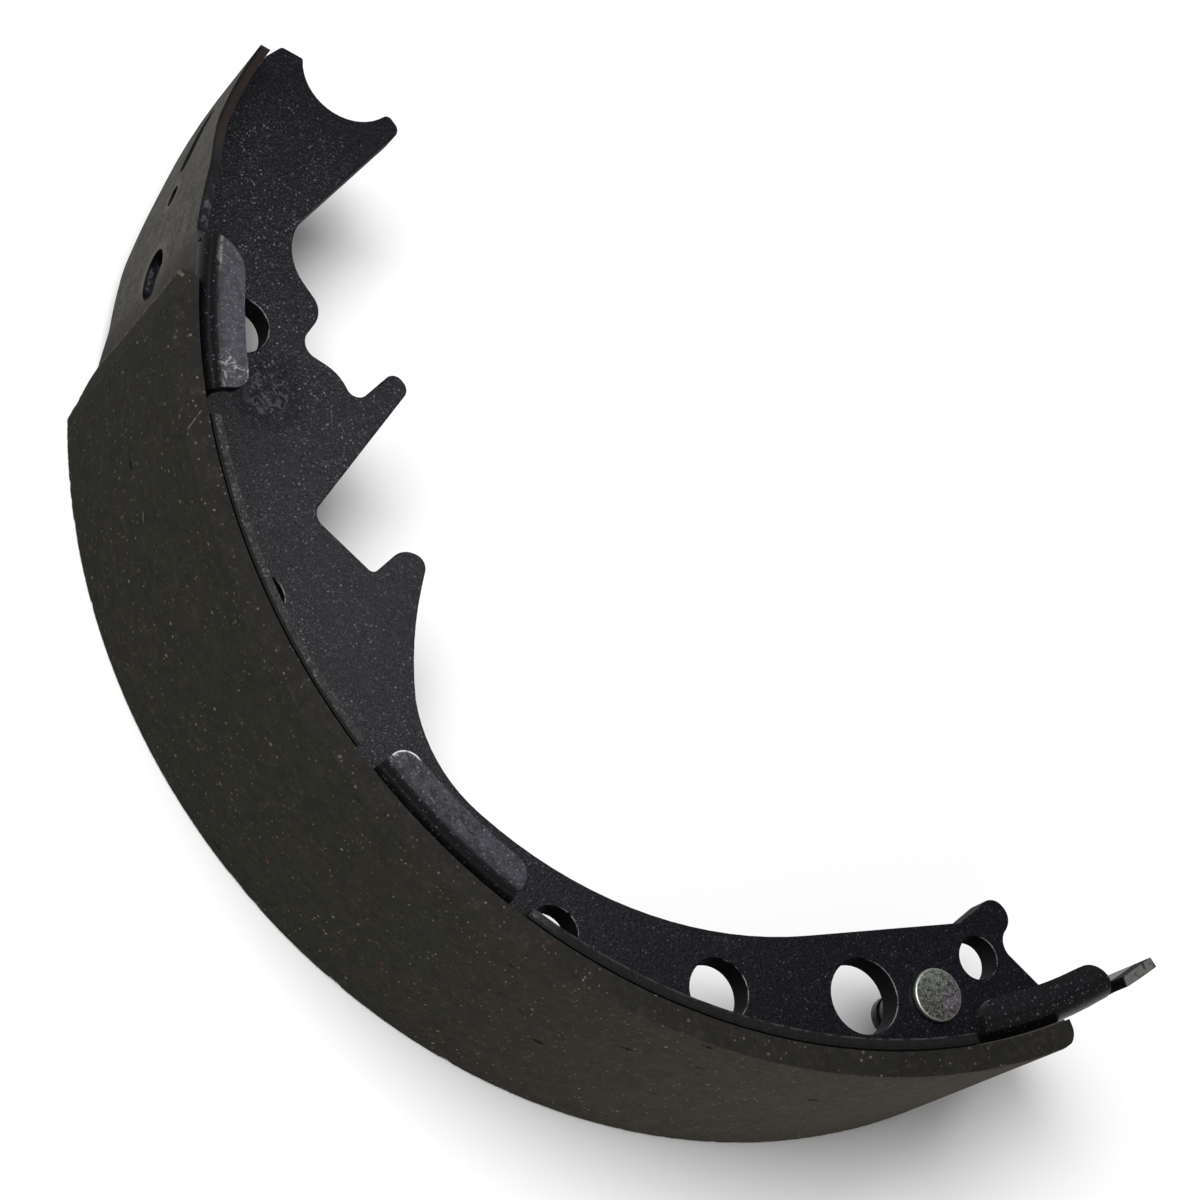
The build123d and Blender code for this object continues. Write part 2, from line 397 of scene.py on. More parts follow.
def brightWear(s, upward, inboard, tabTop, chipped):
    # broken lines where the tabs' edges have been rubbed, and scuffed ends
    turned = s.times(
        s.fade(upward, 0.3, 0.7),
        s.fade(upward, 0.985, 0.995, 1.0, 0.0),
        inboard,
        s.nearTop(*rimLook["wornEdgeDepth"]),
    )
    edges = s.most(*[s.sector(*ends) for ends in rimLook["wornEdges"]])
    innerEdge = s.under(rim["inner"], *rimLook["tabInnerEdge"], 0.6, 0.0)
    scuffs = s.times(
        s.most(*[s.sector(*ends) for ends in rimLook["scuffs"]]),
        tabTop,
        s.fade(s.noise(rimLook["scuffScale"], 5.0, 0.75, distortion=1.4), 0.5, 0.6),
    )
    return s.most(s.times(turned, chipped, s.most(edges, innerEdge)), scuffs)


def paintedHighlightLine(s, upward):
    # painted highlight: one bright line follows the round of the second tab's first corner
    middle = polarPoint(*rimLook["highlightCorner"], rim["width"])
    return s.times(
        s.spot(middle, rimLook["highlightRadius"], 0.1 * mm),
        s.but(s.spot(middle, rimLook["highlightRadius"] - rimLook["paintedHighlightLine"], 0.14 * mm)),
        s.sector(*rimLook["highlightSector"], 0.3),
        s.under(rim["inner"], *rimLook["highlightInboard"], 1.0, 0.0),
        s.fade(upward, 0.2, 0.6),
        s.fade(s.noise(rimLook["highlightScale"], 3.0, 0.6), 0.34, 0.5),
    )


def cutEdge(s, grain, mottle, chipped, onTongue, painted):
    # rough, with the most light grains where the cut is bare
    bright = s.most(s.sector(*rimLook["lightStrip"], 1.5), s.sector(*rimLook["notchStrip"], 0.8), 0.25)
    cut = s.blend(s.fade(mottle, 0.35, 0.6), flat(rimLook["strip"], 0.5), flat(rimLook["strip"], 1.3))
    cut = s.blend(s.times(s.fade(grain, 0.52, 0.7), bright), cut, flat(rimLook["stripLight"]))
    # brown and then black along the tongue, with a few light wrinkles next to the first tab
    tongue = s.blend(
        s.sector(*rimLook["blackTongue"], 1.5), flat(rimLook["stripBrown"]), flat(rimLook["paint"], 2.5)
    )
    tongue = s.blend(s.times(s.fade(mottle, 0.4, 0.5, 1.0, 0.0), 0.5), tongue, flat(rimLook["paint"]))
    wrinkles = s.times(s.sector(*rimLook["wrinkledTongue"], 0.8), s.fade(mottle, 0.5, 0.58))
    tongue = s.blend(s.times(wrinkles, 0.8), tongue, flat(rimLook["tab"], 2.2))
    cut = s.blend(onTongue, cut, tongue)
    # painted over past the second tab, but for a thin line inside, and painted shade, black, beside the
    # lining
    cut = s.blend(s.times(painted, 0.92), cut, flat(rimLook["paint"], 0.9))
    lineStart, lineEnd = rimLook["thinLine"]
    thinLine = s.inside(s.radius, rim["inner"] + lineStart, rim["inner"] + lineEnd, 0.12 * mm)
    cut = s.blend(s.times(painted, thinLine, chipped, 0.25), cut, flat(rimLook["stripLight"], 0.8))
    shadeBesideLining = s.under(rim["outer"], *rimLook["shadeBesideLining"])
    cut = s.blend(s.times(shadeBesideLining, 0.92), cut, flat(rimLook["paint"], 0.3))
    # bare again past the third tab
    bareEnd = s.blend(s.fade(mottle, 0.38, 0.5), flat(rimLook["strip"]), flat(rimLook["stripEnd"]))
    return s.blend(s.sweep(*rimLook["bareStrip"]), cut, bareEnd)


def makeRimPaint():
    s = Shader("rimPaint")
    s.polar()
    upward = s.parts(s.facing)[2]
    grain = s.noise(rimLook["grainScale"], 4.0, 0.7)
    mottle = s.noise(rimLook["mottleScale"], 5.0, 0.75, distortion=0.6)
    chipped = s.fade(s.noise(rimLook["chipScale"], 4.0, 0.7), 0.42, 0.56)

    # outside is bare, but the first tab's root is painted over the corner
    root = s.times(s.nearTop(*rimLook["paintedRootDepth"]), s.sweep(*rimLook["paintedRoot"]))
    outside = s.times(s.under(rim["outer"], *rimLook["outsideDepth"]), s.but(root))

    # the first two tabs are worn on their upper face, the third is still painted; the worn colour fades in
    # over each bend as the surface turns upward, which paints shade on the bend
    inboard = s.under(rim["inner"], *rimLook["tabInboard"], 1.0, 0.0)
    tabTop = s.times(
        s.fade(upward, 0.5, 0.99),
        inboard,
        s.nearTop(*rimLook["tabTopDepth"]),
        s.sweep(*rimLook["tabWearFades"], 1.0, 0.07),
    )

    # the cut edge is the strip's upper edge, and on the tongue all that looks up
    onTongue = s.sweep(*rimLook["tongueEnd"], 1.0, 0.0)
    strip = s.times(
        s.under(rim["inner"], *rimLook["stripInboard"]),
        s.most(s.nearTop(*rimLook["stripDepth"]), s.times(onTongue, s.fade(upward, 0.4, 0.8))),
    )
    painted = s.sweep(*rimLook["paintedStrip"])

    cloud = s.noise(rimLook["cloudScale"], 4.0, 0.6)
    colour = s.blend(cloud, flat(rimLook["paint"], 0.6), flat(rimLook["paint"], 1.2))
    specks = s.times(s.dots(rimLook["speckScale"], 4.0, 0.4), s.fade(upward, 0.3, 0.9), 0.35)
    colour = s.blend(specks, colour, flat(webLook["dust"]))
    colour = s.blend(tabTop, colour, tabFace(s, grain, mottle))
    colour = s.blend(strip, colour, cutEdge(s, grain, mottle, chipped, onTongue, painted))
    colour = s.blend(brightWear(s, upward, inboard, tabTop, chipped), colour, flat(rimLook["wornAndHighlight"]))
    # painted highlight along the second tab's first corner
    colour = s.blend(paintedHighlightLine(s, upward), colour, flat(rimLook["wornAndHighlight"], 2.1))
    colour = s.blend(outside, colour, bareSteel(s, grain, mottle))

    # dull where it is bare or cut, and dullest on the outside and on the bends of the tabs
    bendStart, bendEnd = rimLook["tabBendInboard"]
    bend = s.times(
        s.inside(s.radius, rim["inner"] + bendStart, rim["inner"] + bendEnd, 0.3 * mm),
        s.nearTop(*rimLook["tabBendDepth"]),
        s.fade(upward, 0.97, 0.99, 1.0, 0.0),
    )
    unpainted = s.math("SUBTRACT", strip, s.times(strip, painted))
    rough = s.fade(s.most(tabTop, unpainted), 0.0, 1.0, 0.38, 0.68)
    rough = s.most(rough, s.times(s.most(outside, bend), 0.92))
    uneven = s.times(mottle, s.most(strip, s.times(tabTop, 0.8), s.times(outside, 0.5)))
    bump = s.bump(grain, 0.5, 0.05 * mm)
    bump = s.bump(uneven, 0.8, 0.16 * mm, bump)
    return s.finish(Base_Color=colour, Roughness=rough, Normal=bump, Specular_IOR_Level=rimLook["specular"])


rimPaint = makeRimPaint()
print("rim finish ready")

# Lining: moulded friction block, ground to the drum's radius, with flecks and short drawn scratches, and
# painted sheen, highlights and shade
lining = {
    "outer": 127.0 * mm,
    "start": 219.7,
    "full": 224.9,
    "end": 337.2,
    "feather": 0.3 * mm,  # how thick the thin end is
    "corner": 3.0 * mm,  # round at the thick end
    "clipNear": 10.9 * mm,
    "clipFar": 3.0 * mm,
    "clipAngle": 3.2,
    "edge": 0.45 * mm,
    "slotWidth": 0.32 * mm,
    "slotDepth": 1.4 * mm,
    "chipDepth": 0.28 * mm,
    "chipReach": 0.7 * mm,  # down each side of an edge
    "chipStart": 0.3 * mm,  # above the back, and full from chipFull on
    "chipFull": 2.0 * mm,
    "chipWaves": (3, 24, 5.0 * mm),  # seed, number and size of the waves
    "nickWaves": (5, 24, 1.6 * mm),
    "groundDepth": 0.025 * mm,
    "groundWaves": (7, 16, 22.0 * mm),
    "chipFrom": 0.75,
    "nickShare": 0.2,
    "sharpAngle": 40.0,
    "rampSteps": 50,
    "arcSteps": 760,
    "cornerSteps": 16,
    "edgeSteps": 6,
    "acrossSteps": 44,
    "sideSteps": 8,
    "base": (0.0224, 0.0218, 0.0173),
    "green": (0.0205, 0.0215, 0.0155),
    "brown": (0.0285, 0.0235, 0.0185),
    "paintedSheen": (0.054, 0.048, 0.0395),
    "sheenStarts": (274.0, 332.0),
    "sideTone": (0.0215, 0.0207, 0.0188),
    "sideDepth": (0.3 * mm, 0.05 * mm),
    "dark": (0.0005, 0.0005, 0.0003),
    "crack": (0.004, 0.004, 0.003),
    "fleck": (0.26, 0.225, 0.175),
    "redFleck": (0.12, 0.045, 0.028),
    "cloudScale": 48.0,
    "tingeScale": 75.0,
    "blotScale": 190.0,
    "hollowScale": 210.0,
    "crumbScale": 520.0,
    "grainScale": 1200.0,
    "lineScale": (60.0, 900.0),  # along the arc and across it
    "fleckScale": 560.0,
    "speckScale": 1100.0,
    "poreScale": 300.0,
    "poreStretch": 0.42,
    # each scratch's two ends, as angle and height, and its half width; the first is a painted highlight
    # just under the clipped corner's edge
    "scratchesAndEdgeHighlight": (
        ((219.9, 44.0 * mm), (223.0, 54.6 * mm), 0.4 * mm),
        ((234.63, 58.4 * mm), (236.2, 55.2 * mm), 0.1 * mm),
        ((238.6, 31.0 * mm), (239.3, 30.2 * mm), 0.14 * mm),
    ),
    "scratchWander": 0.5 * mm,
    "scratchSoft": 0.4 * mm,
    "specular": 0.02,
}


def groundFace(s, side, grain, crumbs, arc):
    # mixed greens and browns, with a painted sheen that makes the ground face lighter and warmer to the
    # right, the upper side darker to the right, darker hollows and lighter grains
    along, across = lining["lineScale"]
    drawn = s.join(s.times(arc, along), s.times(s.height, across), s.times(s.radius, across))
    lines = s.noise(1.0, 3.0, 0.6, vector=drawn)
    toRight = s.sweep(*lining["sheenStarts"])
    tinge = s.noise(lining["tingeScale"], 4.0, 0.65)
    cloud = s.noise(lining["cloudScale"], 5.0, 0.62)
    blots = s.noise(lining["blotScale"], 5.0, 0.7)
    tone = s.blend(s.times(s.fade(tinge, 0.4, 0.3), 0.6), flat(lining["base"]), flat(lining["green"]))
    tone = s.blend(s.times(s.fade(tinge, 0.55, 0.7), 0.6), tone, flat(lining["brown"]))
    # painted sheen: the ground face turns lighter and warmer to the right
    tone = s.blend(toRight, tone, flat(lining["paintedSheen"]))
    tone = s.blend(side, tone, s.blend(toRight, flat(lining["sideTone"]), flat(lining["sideTone"], 0.74)))
    dark = s.blend(0.35, tone, flat(lining["dark"]))
    light = s.blend(0.08, tone, flat(lining["fleck"]))
    colour = s.blend(s.times(cloud, 0.4), tone, dark)
    colour = s.blend(s.times(s.fade(blots, 0.44, 0.62), 0.35), colour, dark)
    colour = s.blend(s.times(s.fade(crumbs, 0.3, 0.46, 1.0, 0.0), 0.8), colour, dark)
    colour = s.blend(s.times(s.fade(crumbs, 0.52, 0.68), 0.4), colour, light)
    colour = s.blend(s.times(s.fade(grain, 0.55, 0.72), 0.6), colour, light)
    colour = s.blend(s.times(s.fade(lines, 0.54, 0.75), s.fade(side, 0.0, 1.0, 0.15, 0.0)), colour, light)
    return colour, dark


def scratchLine(s, ends, width, arc, unrolled, grain, crumbs):
    # distance along and across a straight line from one end to the other, wandering a little
    (angleA, heightA), (angleB, heightB) = ends
    runArc = radians(angleB - angleA) * lining["outer"]
    runHeight = heightB - heightA
    length = (runArc ** 2 + runHeight ** 2) ** 0.5
    fromStart = s.math("SUBTRACT", arc, fromMiddle(angleA) * lining["outer"])
    up = s.math("SUBTRACT", unrolled, heightA)
    along = s.math("ADD", s.times(fromStart, runArc / length), s.times(up, runHeight / length))
    across = s.math("SUBTRACT", s.times(up, runArc / length), s.times(fromStart, runHeight / length))
    wander = s.times(s.math("SUBTRACT", crumbs, 0.5), lining["scratchWander"])
    away = s.math("ABSOLUTE", s.math("ADD", across, wander))
    return s.times(
        s.fade(away, width * 0.4, width, 1.0, 0.0),
        s.inside(along, 0.0, length, lining["scratchSoft"]),
        s.fade(grain, 0.4, 0.5),
    )


def makeFriction():
    s = Shader("frictionBlock")
    s.polar()
    arc = s.times(s.angle, lining["outer"])
    grain = s.noise(lining["grainScale"], 4.0, 0.75)
    crumbs = s.noise(lining["crumbScale"], 4.0, 0.7)
    side = s.nearTop(*lining["sideDepth"])
    colour, dark = groundFace(s, side, grain, crumbs, arc)

    # pale and reddish flecks, and short dark dashes drawn out along the arc
    away, pick = s.cells(lining["fleckScale"])
    fleck = s.times(
        s.fade(away, 0.1, 0.24, 1.0, 0.0),
        s.fade(pick[0], 0.93, 0.99),
        s.fade(side, 0.0, 1.0, 1.0, 0.4),
    )
    red = s.times(s.fade(away, 0.14, 0.3, 1.0, 0.0), s.fade(pick[2], 0.96, 0.995))
    stretched = s.join(s.times(arc, lining["poreStretch"]), s.height, s.radius)
    away, pick = s.cells(lining["poreScale"], stretched)
    pore = s.times(s.fade(away, 0.1, 0.2, 1.0, 0.0), s.fade(pick[1], 0.84, 0.93))
    colour = s.blend(s.times(pore, 0.9), colour, flat(lining["crack"]))
    colour = s.blend(s.times(fleck, 0.55), colour, flat(lining["fleck"]))
    colour = s.blend(s.times(red, 0.5), colour, flat(lining["redFleck"]))
    colour = s.blend(s.times(s.dots(lining["speckScale"], 8.0, 0.3), 0.5), colour, flat(lining["fleck"]))

    # on the upper side a scratch's height goes on inwards, as if the surface were unrolled
    unrolled = s.math("ADD", s.height, s.times(side, s.math("SUBTRACT", lining["outer"], s.radius)))
    # the first of these light lines is a painted highlight along the clipped edge
    for *ends, width in lining["scratchesAndEdgeHighlight"]:
        scratch = scratchLine(s, ends, width, arc, unrolled, grain, crumbs)
        colour = s.blend(s.times(scratch, 0.6), colour, flat(lining["fleck"], 0.9))

    # the thin end gets a broken light line, a painted highlight along its edge, and its slope gets painted
    # shade
    thin = s.sweep(lining["start"] + 0.4, lining["start"] + 0.9, 1.0, 0.0)
    slope = s.sweep(lining["full"] - 0.25, lining["full"] + 0.05, 1.0, 0.0)
    ramp = s.times(slope, s.fade(side, 0.0, 1.0, 1.0, 0.0))
    colour = s.blend(s.times(ramp, 0.15), colour, dark)
    colour = s.blend(s.times(thin, s.fade(crumbs, 0.4, 0.55), 0.5), colour, flat(lining["fleck"], 0.6))

    hollows = s.fade(s.noise(lining["hollowScale"], 4.0, 0.65), 0.3, 0.7)
    rough = s.fade(s.most(ramp, side), 0.0, 1.0, 0.85, 1.0)
    bump = s.bump(grain, 0.45, 0.08 * mm)
    bump = s.bump(s.but(pore), 0.7, 0.18 * mm, bump)
    bump = s.bump(hollows, 0.3, 0.1 * mm, bump)
    return s.finish(Base_Color=colour, Roughness=rough, Normal=bump, Specular_IOR_Level=lining["specular"])


def waves(u, v, seed, count, size):
    # sum of cosines in random directions, each about one size long, with a spread of about 0.7
    draw = np.random.default_rng(seed)
    heading = draw.uniform(0, np.pi, count)
    pace = 2 * np.pi / (size * draw.uniform(0.6, 1.6, count))
    offset = draw.uniform(0, 2 * np.pi, count)
    total = np.zeros(np.broadcast(u, v).shape)
    for turn, speed, start in zip(heading, pace, offset):
        total += np.cos(speed * (u * np.cos(turn) + v * np.sin(turn)) + start)
    return total / count ** 0.5


def closedMesh(name, points):
    # points is rows by columns by xyz, and each row is a closed loop:
    # neighbours make quads, and a face closes each end
    rows, columns = points.shape[:2]
    first = np.arange(rows - 1)[:, None] * columns
    here, beside = first + np.arange(columns), first + (np.arange(columns) + 1) % columns
    faces = np.stack([here, beside, beside + columns, here + columns], axis=-1).reshape(-1, 4).tolist()
    faces.append(list(range(columns)))
    faces.append(list(range((rows - 1) * columns, rows * columns)))
    mesh = bpy.data.meshes.new(name)
    mesh.from_pydata(points.reshape(-1, 3).tolist(), [], faces)
    shell = bmesh.new()
    shell.from_mesh(mesh)
    bmesh.ops.recalc_face_normals(shell, faces=shell.faces)
    shell.to_mesh(mesh)
    shell.free()
    return mesh


def showPiece(mesh, material, standsFor, sharpAngle):
    # shaded smooth, but for edges that turn more than sharpAngle, in degrees
    mesh.materials.clear()
    mesh.materials.append(material)
    mesh.shade_smooth()
    mesh.set_sharp_from_angle(angle=radians(sharpAngle))
    piece = bpy.data.objects.new(mesh.name, mesh)
    bpy.context.scene.collection.objects.link(piece)
    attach(piece, "root")
    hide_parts(standsFor)
    return piece


def makeLining():
    # A section, radius by height with rounded edges, is carried along the arc.
    # Its outer radius climbs in a straight line from the thin end and rounds off at the other end.
    start, full, end = (radians(lining[key]) for key in ("start", "full", "end"))
    corner = lining["corner"]
    roundStart = end - corner / lining["outer"]
    turn = np.concatenate([
        np.linspace(start, full, lining["rampSteps"])[:-1],
        np.linspace(full, roundStart, lining["arcSteps"])[:-1],
        end - (end - roundStart) * (1 - np.sin(np.linspace(0, np.pi / 2, lining["cornerSteps"]))),
    ])[:, None]
    low = rim["outer"] + lining["feather"]
    climb = low * lining["outer"] * np.sin(full - start) / (
        lining["outer"] * np.sin(full - turn) + low * np.sin(turn - start)
    )
    peak = np.where(turn < full, climb, lining["outer"])
    left = np.clip(corner - (end - turn) * lining["outer"], 0, corner)
    peak = peak - corner + np.sqrt(corner ** 2 - left ** 2)

    # both corners of the thin end are clipped in a straight line
    clip = (turn - start) / radians(lining["clipAngle"])
    top = rim["width"] - lining["clipNear"] * np.clip(1 - clip, 0, 1)
    bottom = lining["clipFar"] * np.clip(1 - clip * lining["clipNear"] / lining["clipFar"], 0, 1)

    # the section's loop: lower side, rounded edge, outer face, rounded edge, upper side,
    # a narrow slot beside the strip's edge, back
    back = np.full_like(turn, rim["outer"])
    edge = np.minimum(lining["edge"], (peak - back) * 0.45)
    slot = np.minimum(lining["slotWidth"], (peak - edge - back) * 0.5)
    slotDepth = np.minimum(lining["slotDepth"], (top - bottom) * 0.2)
    swing = np.linspace(0, np.pi / 2, lining["edgeSteps"])[None, :]
    face = np.linspace(0, 1, lining["acrossSteps"])[None, 1:-1]
    side = np.linspace(0, 1, lining["sideSteps"])[None, :-1]
    r = np.concatenate([
        back + (peak - edge - back) * side,
        peak - edge + edge * np.sin(swing),
        peak + 0 * face,
        peak - edge + edge * np.cos(swing),
        peak - edge - (peak - edge - back - slot) * side[:, 1:],
        back + slot, back + slot, back, back,
    ], axis=1)
    z = np.concatenate([
        bottom + 0 * side,
        bottom + edge - edge * np.cos(swing),
        bottom + edge + (top - bottom - 2 * edge) * face,
        top - edge + edge * np.sin(swing),
        top + 0 * side[:, 1:],
        top, top - slotDepth, top - slotDepth, (top + bottom) / 2,
    ], axis=1)

    # small chips along the two outer edges, and a barely uneven ground face
    arc = turn * lining["outer"] + 0 * r
    fromEdge = np.minimum(z - bottom, top - z)
    nearEdge = np.exp(-(fromEdge / lining["chipReach"]) ** 2) * (r > back + lining["chipStart"])
    chips = np.clip(waves(arc, z, *lining["chipWaves"]) - lining["chipFrom"], 0, 1)
    nicks = lining["nickShare"] * np.abs(waves(arc, z, *lining["nickWaves"]))
    outwards = np.clip((r - back) / lining["chipFull"], 0, 1)
    r = r - lining["chipDepth"] * (chips + nicks) * nearEdge * outwards
    uneven = 1 + waves(arc, z, *lining["groundWaves"]) / 3
    r = r - lining["groundDepth"] * uneven * (r > peak - 0.1 * mm)
    r = np.maximum(r, back)
    return closedMesh("lining_block", np.stack([r * np.cos(turn), r * np.sin(turn), z + 0 * r], axis=-1))


showPiece(makeLining(), makeFriction(), "lining", lining["sharpAngle"])
print("lining made")

# Lever pin: zinc plated, passivated green and purple, scratched outwards near the edge of its head
pin = {
    "radius": 3.95 * mm,
    "seat": 4.2 * mm,
    "head": 5.2 * mm,
    "headRound": 0.42 * mm,
    "dishRadius": 2.6 * mm,
    "dishEdge": 0.02 * mm,
    "dishDepth": 0.05 * mm,
    "grooveDepth": 0.6 * mm,
    "grooveWidth": 1.3 * mm,
    "grooveFromEnd": 2.4 * mm,
    "chamfer": 0.6 * mm,
    "soft": 0.12 * mm,
    "around": 96,
    "roundSteps": 8,
    "sharpAngle": 35.0,
    "axisRadius": 0.02 * mm,  # the faces that close the ends are this wide
    "green": (0.17, 0.195, 0.16),
    "dark": (0.018, 0.023, 0.02),
    "purple": (0.17, 0.125, 0.17),
    "brown": (0.085, 0.08, 0.055),
    "bare": (0.42, 0.45, 0.4),
    "cloudScale": 1000.0,
    "grainScale": 2600.0,
    "purpleFrom": (-3.0 * mm, 3.5 * mm),  # left to right on the head
    "brownFrom": (1.0 * mm, -3.5 * mm),  # back to front
    "rayScale": (13.0, 260.0),  # round the head and along its radius
    "rayRadius": (2.2 * mm, 4.6 * mm),
    "wornHighlightRadius": (4.7 * mm, 5.0 * mm),
    "wornHighlightDepth": (0.9 * mm, 0.3 * mm),
    "metallic": 0.85,
}


def makeZinc():
    s = Shader("zincPin")
    x, y, z = s.parts(s.coords)
    dx, dy = s.math("SUBTRACT", x, pinMiddle.x), s.math("SUBTRACT", y, pinMiddle.y)
    radius = s.math("SQRT", s.math("ADD", s.times(dx, dx), s.times(dy, dy)))
    angle = s.math("ARCTAN2", dy, dx)
    cloud = s.noise(pin["cloudScale"], 5.0, 0.75, distortion=0.5)
    grain = s.noise(pin["grainScale"], 4.0, 0.75)

    # purple to the right, brown to the front, dark and bright in spots
    brownStart, brownEnd = pin["brownFrom"]
    toRight = s.fade(dx, *pin["purpleFrom"])
    toFront = s.fade(dy, brownEnd, brownStart, 1.0, 0.0)
    colour = s.blend(toRight, flat(pin["green"]), flat(pin["purple"]))
    colour = s.blend(s.times(toFront, 0.8), colour, flat(pin["brown"]))
    colour = s.blend(s.times(s.fade(cloud, 0.44, 0.58), 0.85), colour, flat(pin["dark"]))
    colour = s.blend(s.times(s.fade(grain, 0.52, 0.64), 0.8), colour, flat(pin["bare"], 0.9))

    # scratches run outwards, the head's edge is worn bright and carries a painted highlight, and the shank
    # gets painted shade under the web
    roundScale, alongScale = pin["rayScale"]
    outwards = s.join(s.times(angle, roundScale), s.times(radius, alongScale), 0.0)
    rays = s.noise(1.0, 2.0, 0.6, vector=outwards)
    scratch = s.times(s.fade(radius, *pin["rayRadius"]), s.fade(rays, 0.58, 0.72))
    colour = s.blend(s.times(scratch, 0.75), colour, flat(pin["bare"]))
    deep, shallow = pin["wornHighlightDepth"]
    onHead = s.fade(z, pinHigh.z - deep, pinHigh.z - shallow)
    wornAndHighlight = s.times(onHead, s.fade(radius, *pin["wornHighlightRadius"]))
    colour = s.blend(s.times(wornAndHighlight, 0.75), colour, flat(pin["bare"], 1.3))
    shankShade = s.fade(z, webLow.z, webHigh.z, 1.0, 0.0)
    colour = s.blend(s.times(shankShade, 0.7), colour, flat(pin["dark"]))

    rough = s.fade(grain, 0.35, 0.7, 0.32, 0.5)
    bump = s.bump(grain, 0.55, 0.06 * mm)
    bump = s.bump(cloud, 0.4, 0.08 * mm, bump)
    bump = s.bump(scratch, 0.5, 0.05 * mm, bump)
    return s.finish(Base_Color=colour, Metallic=pin["metallic"], Roughness=rough, Normal=bump)


def makePin():
    # A profile of radius and height, with its corners rounded, is turned once round the pin's axis.
    bottom, top = pinLow.z, pinHigh.z
    soft, chamfer, headRound = pin["soft"], pin["chamfer"], pin["headRound"]
    shank, groove = pin["radius"], pin["radius"] - pin["grooveDepth"]
    grooveLow = bottom + pin["grooveFromEnd"]
    grooveHigh = grooveLow + pin["grooveWidth"]
    swing = np.linspace(0, np.pi / 2, pin["roundSteps"])
    headLow = (pin["head"] - soft * (1 - np.sin(swing)), webHigh.z + soft * (1 - np.cos(swing)))
    headTop = (pin["head"] - headRound * (1 - np.cos(swing)), top - headRound * (1 - np.sin(swing)))
    profile = np.concatenate([
        [
            (0.0, bottom),
            (shank - chamfer - soft, bottom),
            (shank - chamfer + soft * 0.7, bottom + soft * 0.7),
            (shank - soft * 0.3, bottom + chamfer - soft * 0.3),
            (shank, bottom + chamfer + soft),
            (shank, grooveLow - soft),
            (shank - soft * 0.4, grooveLow),
            (groove, grooveLow),
            (groove, grooveHigh),
            (shank - soft * 0.4, grooveHigh),
            (shank, grooveHigh + soft),
            (shank, webLow.z),
            (pin["seat"], webLow.z),
            (pin["seat"], webHigh.z),
        ],
        np.column_stack(headLow),
        np.column_stack(headTop),
        [(pin["dishRadius"], top - pin["dishEdge"]), (0.0, top - pin["dishDepth"])],
    ])
    r, z = np.maximum(profile[:, :1], pin["axisRadius"]), profile[:, 1:]
    around = np.linspace(0, 2 * np.pi, pin["around"], endpoint=False)[None, :]
    x = pinMiddle.x + r * np.cos(around)
    y = pinMiddle.y + r * np.sin(around)
    return closedMesh("lever_pin_plated", np.stack([x, y, z + 0 * around], axis=-1))


showPiece(makePin(), makeZinc(), "lever_pin", pin["sharpAngle"])
print("pin made")

# The web and the rim get rounded edges. The web's shortest edges are joined first,
# so that its round can be as wide as on the photograph. Limits of angles are in degrees.
webRound = {"width": 0.3 * mm, "segments": 3, "join": 0.05 * mm, "clamp": False}
rimRound = {"width": 0.22 * mm, "segments": 2, "join": 0.001 * mm, "clamp": True}
sharpEdge = {"flat": 0.6, "shading": 30.0, "rounded": 35.0}


def roundedCopy(node, name, material, rounding):
    # the node's loose triangles are merged, flat ones joined, and every sharp edge gets a small round
    mesh = nodes[node].data.copy()
    mesh.name = name
    if "custom_normal" in mesh.attributes:
        mesh.attributes.remove(mesh.attributes["custom_normal"])
    body = bmesh.new()
    body.from_mesh(mesh)
    bmesh.ops.remove_doubles(body, verts=body.verts, dist=rounding["join"])
    bmesh.ops.dissolve_limit(
        body, angle_limit=radians(sharpEdge["flat"]), verts=body.verts, edges=body.edges
    )
    body.to_mesh(mesh)
    body.free()
    piece = showPiece(mesh, material, node, sharpEdge["shading"])
    bevel = piece.modifiers.new("roundEdges", "BEVEL")
    bevel.width = rounding["width"]
    bevel.segments = rounding["segments"]
    bevel.limit_method = "ANGLE"
    bevel.angle_limit = radians(sharpEdge["rounded"])
    bevel.harden_normals = True
    bevel.use_clamp_overlap = rounding["clamp"]


roundedCopy("web", "web_plate", webPaint, webRound)
roundedCopy("rim", "rim_table", rimPaint, rimRound)
print("web and rim rounded")

# Floor: one plain pale sheet under the shoe
stage = {"reach": 6.0, "gap": 0.1 * mm, "tone": 0.88, "rough": 0.9, "specular": 0.1}


def makeFloor():
    # a square that reaches equally far to all sides, a little below the frame's ground
    reach = stage["reach"]
    corners = np.array([(-reach, -reach), (reach, -reach), (reach, reach), (-reach, reach)])
    points = np.column_stack([corners, np.full(4, -stage["gap"])])
    mesh = bpy.data.meshes.new("floor")
    mesh.from_pydata(points.tolist(), [], [(0, 1, 2, 3)])
    floor = bpy.data.objects.new("floor", mesh)
    bpy.context.scene.collection.objects.link(floor)
    s = Shader("paleFloor")
    pale = flat((stage["tone"],) * 3)
    mesh.materials.append(s.finish(
        Base_Color=pale, Roughness=stage["rough"], Specular_IOR_Level=stage["specular"]
    ))


makeFloor()

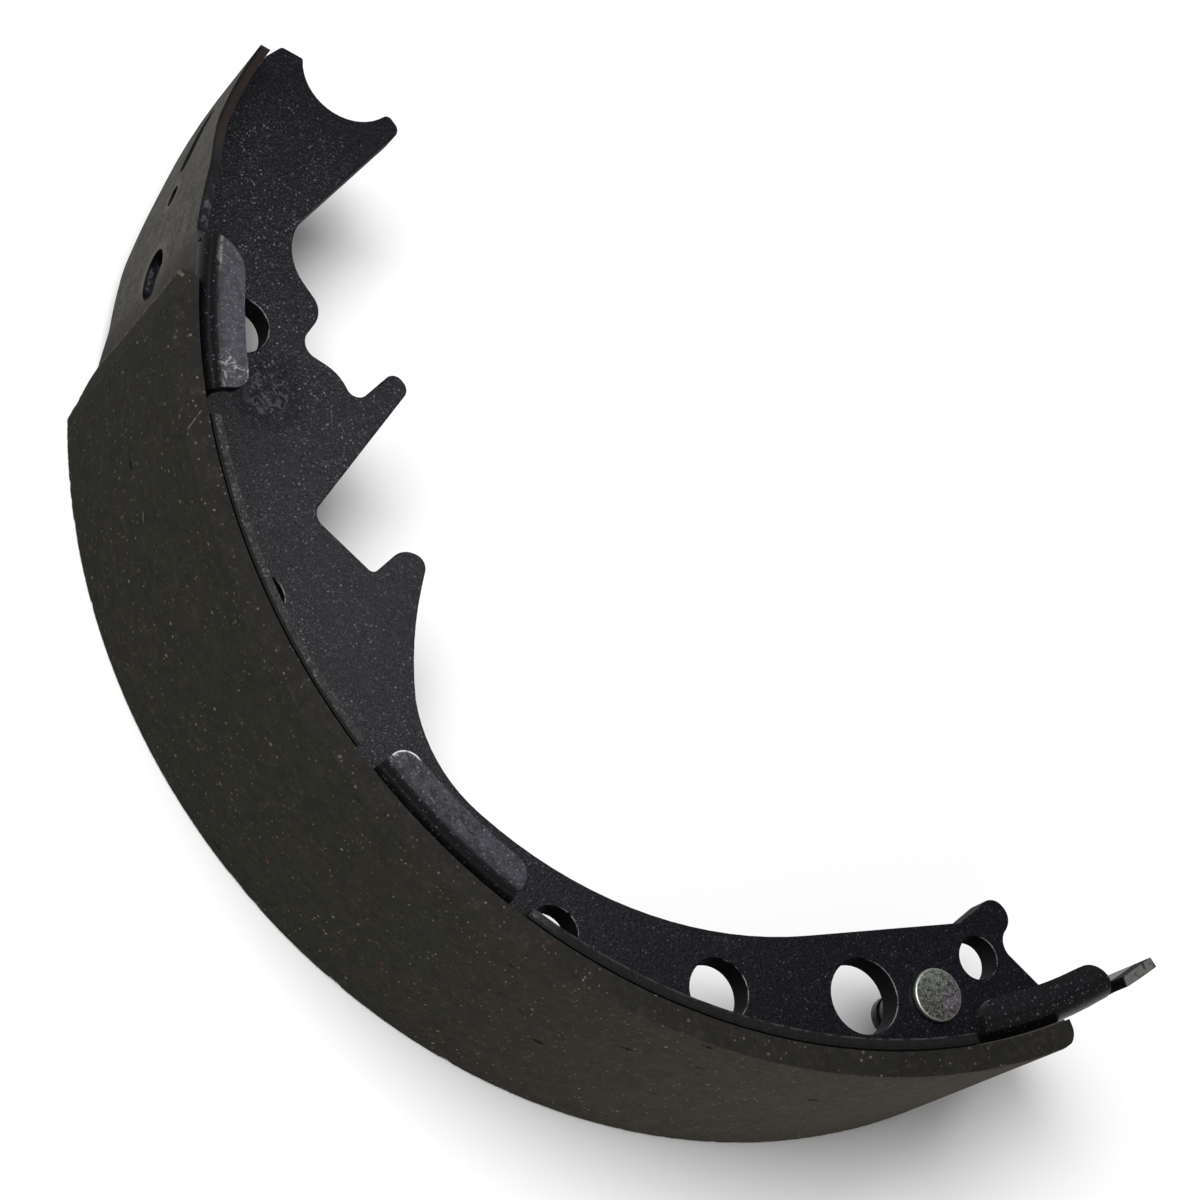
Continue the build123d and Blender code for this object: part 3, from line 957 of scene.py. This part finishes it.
# Camera: matched to the photograph. Its place is in millimetres, and its three directions
# are those of the picture's right, its lower side and the line of sight, in the frame's axes.
view = {
    "place": (-34.540, -394.798, 523.082),
    "right": (0.65726284, 0.58869534, 0.47057769),
    "down": (0.7509492, -0.56447368, -0.34270214),
    "forward": (0.06388157, 0.57862532, -0.81308787),
    "lens": 97.305,
    "sensor": 36.0,
    "shiftX": -0.02045,
    "shiftY": 0.00636,
    "clip": (0.01, 20.0),
}
cameraData = bpy.data.cameras.new("camera")
camera = bpy.data.objects.new("camera", cameraData)
bpy.context.scene.collection.objects.link(camera)
axes = Matrix((view["right"], -Vector(view["down"]), -Vector(view["forward"]))).transposed()
camera.matrix_world = Matrix.Translation(Vector(view["place"]) * mm) @ axes.to_4x4()
cameraData.sensor_width = view["sensor"]
cameraData.lens = view["lens"]
cameraData.shift_x = view["shiftX"]
cameraData.shift_y = view["shiftY"]
cameraData.clip_start, cameraData.clip_end = view["clip"]
bpy.context.scene.camera = camera

# Light: a dim pale room, one large soft disk high on the left, and two small ones behind and in front
lamps = [
    {"name": "overhead", "place": (-0.55, -0.3, 1.5), "size": 1.1, "power": 30.0},
    {"name": "back", "place": (-0.02, 0.67, 1.3), "size": 0.3, "power": 1.6},
    {"name": "front", "place": (0.75, -1.0, 0.35), "size": 0.5, "power": 5.0},
]
lampsAim = (0.0, -0.07, 0.03)
roomColour = (1.0, 1.0, 1.0, 1.0)
roomStrength = 0.18
world = bpy.data.worlds.new("room")
bpy.context.scene.world = world
world.use_nodes = True
background = world.node_tree.nodes["Background"]
background.inputs["Color"].default_value = roomColour
background.inputs["Strength"].default_value = roomStrength
for lamp in lamps:
    light = bpy.data.lights.new(lamp["name"], "AREA")
    light.shape = "DISK"
    light.size = lamp["size"]
    light.energy = lamp["power"]
    holder = bpy.data.objects.new(lamp["name"], light)
    holder.location = lamp["place"]
    holder.rotation_euler = (Vector(lampsAim) - Vector(lamp["place"])).to_track_quat("-Z", "Y").to_euler()
    bpy.context.scene.collection.objects.link(holder)
bpy.context.scene.view_settings.view_transform = "Standard"
print("stage ready")
